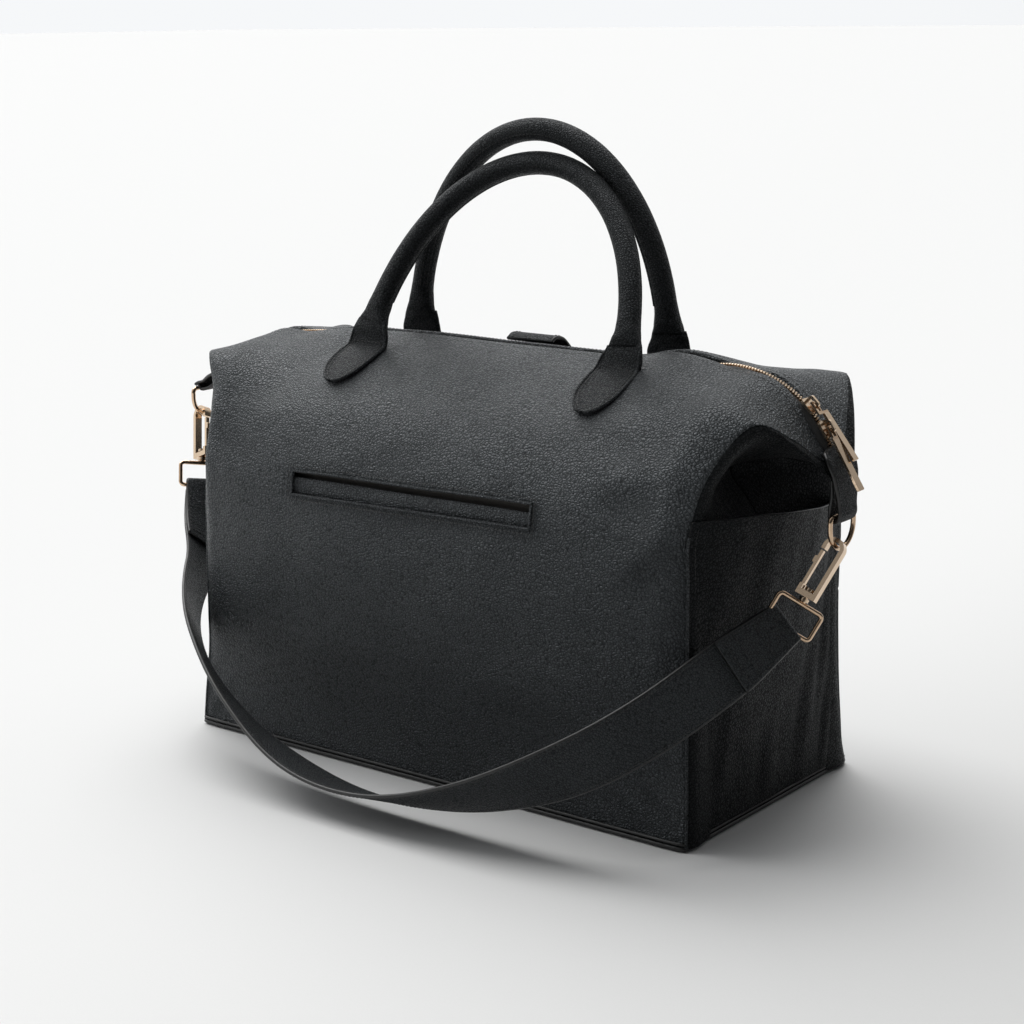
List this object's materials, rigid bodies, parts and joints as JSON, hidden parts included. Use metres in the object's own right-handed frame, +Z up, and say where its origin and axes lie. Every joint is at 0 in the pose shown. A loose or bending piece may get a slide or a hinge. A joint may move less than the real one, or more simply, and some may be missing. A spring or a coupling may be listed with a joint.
{
  "type": "diaper bag",
  "caption": "Soft leather baby-care holdall with rolled handles, an arched two-way zip, end slip pockets, a front welt pocket and a clip-on shoulder strap.",
  "frame": {"origin": "on the floor under the middle of the base", "axes": "+X along the bag to its right end as seen from the front, -Y to the front, +Z up"},
  "size_m": [0.5977, 0.324, 0.4595],
  "materials": {
    "leather": "pebbled, near black, soft satin",
    "leather_edge": "smooth painted edge",
    "lining": "woven twill",
    "tape": "herringbone tape",
    "gold": "pale gold plating, polished",
    "board": "stiff sheet",
    "rope": "twisted cord"
  },
  "bodies": {
    "bag": {"front_panel": "leather", "back_panel": "leather", "base_panel": "leather", "base_board": "board", "base_feet": "gold", "base_piping": "leather_edge", "side_piping": "leather_edge", "gusset_right": "leather", "gusset_left": "leather", "side_pocket_right": "leather", "side_pocket_left": "leather", "front_pocket_bag": "lining", "front_welt": "leather", "back_pocket": "leather", "lining": "lining", "inner_pocket_front": "lining", "inner_pocket_back": "lining", "zip_tape_front": "tape", "zip_tape_back": "tape", "zip_chain_front": "gold", "zip_chain_back": "gold", "end_tab_right": "leather", "end_tab_left": "leather", "chape_front_left": "leather", "chape_back_left": "leather", "chape_front_right": "leather", "chape_back_right": "leather"},
    "handle_front": {"handle_front": "leather", "handle_core_front": "rope"},
    "handle_back": {"handle_back": "leather", "handle_core_back": "rope"},
    "slider_a": {"zip_slider_a": "gold"},
    "pull_a": {"zip_pull_a": "gold"},
    "slider_b": {"zip_slider_b": "gold"},
    "pull_b": {"zip_pull_b": "gold"},
    "ring_right": {"d_ring_right": "gold"},
    "ring_left": {"d_ring_left": "gold"},
    "closing_tab": {"back_tab": "leather"},
    "strap": {"shoulder_strap": "leather", "strap_loop_right": "gold", "strap_loop_left": "gold"},
    "hook_right": {"hook_right": "gold"},
    "hook_left": {"hook_left": "gold"},
    "gate_right": {"hook_gate_right": "gold"},
    "gate_left": {"hook_gate_left": "gold"}
  },
  "joints": [
    {"name": "handle_front_fold", "type": "hinge", "parent": "bag", "child": "handle_front", "pos_m": [0, -0.034, 0.299], "axis": [1, 0, 0], "range_deg": [0, 100]},
    {"name": "handle_back_fold", "type": "hinge", "parent": "bag", "child": "handle_back", "pos_m": [0, 0.034, 0.299], "axis": [1, 0, 0], "range_deg": [-78, 0]},
    {"name": "zip_travel_a", "type": "hinge", "parent": "bag", "child": "slider_a", "pos_m": [0.188, 0, 0.22], "axis": [0, 1, 0], "range_deg": [-43.5, 0]},
    {"name": "zip_travel_b", "type": "hinge", "parent": "bag", "child": "slider_b", "pos_m": [0.188, 0, 0.22], "axis": [0, 1, 0], "range_deg": [-3, 3]},
    {"name": "pull_flip_a", "type": "hinge", "parent": "slider_a", "child": "pull_a", "pos_m": [0.24899, 0, 0.28427], "axis": [0, 1, 0], "range_deg": [-150, 0]},
    {"name": "pull_flip_b", "type": "hinge", "parent": "slider_b", "child": "pull_b", "pos_m": [0.26145, 0, 0.26954], "axis": [0, 1, 0], "range_deg": [-150, 0]},
    {"name": "ring_rock_right", "type": "hinge", "parent": "bag", "child": "ring_right", "pos_m": [0.272, 0, 0.213], "axis": [0, 1, 0], "range_deg": [-1, 1]},
    {"name": "ring_rock_left", "type": "hinge", "parent": "bag", "child": "ring_left", "pos_m": [-0.304, -0.008, 0.242], "axis": [0, 1, 0], "range_deg": [-1, 1]},
    {"name": "closing_tab_lift", "type": "hinge", "parent": "bag", "child": "closing_tab", "pos_m": [0, 0.038, 0.3015], "axis": [1, 0, 0], "range_deg": [0, 115]},
    {"name": "strap_swing", "type": "hinge", "parent": "bag", "child": "strap", "pos_m": [-0.016, -0.004, 0.2202], "axis": [-0.9986, -0.0139, 0.0503], "range_deg": [0, 40]},
    {"name": "hook_swivel_right", "type": "hinge", "parent": "strap", "child": "hook_right", "pos_m": [0.272, -0.00753, 0.19238], "axis": [0.297, 0.4698, 0.8313], "range_deg": [-8, 8]},
    {"name": "gate_open_right", "type": "hinge", "parent": "hook_right", "child": "gate_right", "pos_m": [0.25566, -0.02444, 0.16447], "axis": [-0.1581, 0.8828, -0.4424], "range_deg": [0, 12], "stiffness_Nm_per_rad": 0.06, "springref_deg": -5.73},
    {"name": "hook_swivel_left", "type": "hinge", "parent": "strap", "child": "hook_left", "pos_m": [-0.304, -0.01452, 0.22086], "axis": [-0.3561, 0.3981, 0.8454], "range_deg": [-8, 8]},
    {"name": "gate_open_left", "type": "hinge", "parent": "hook_left", "child": "gate_left", "pos_m": [-0.28565, -0.02885, 0.19275], "axis": [-0.1545, -0.9173, 0.3669], "range_deg": [0, 12], "stiffness_Nm_per_rad": 0.06, "springref_deg": -5.73}
  ]
}
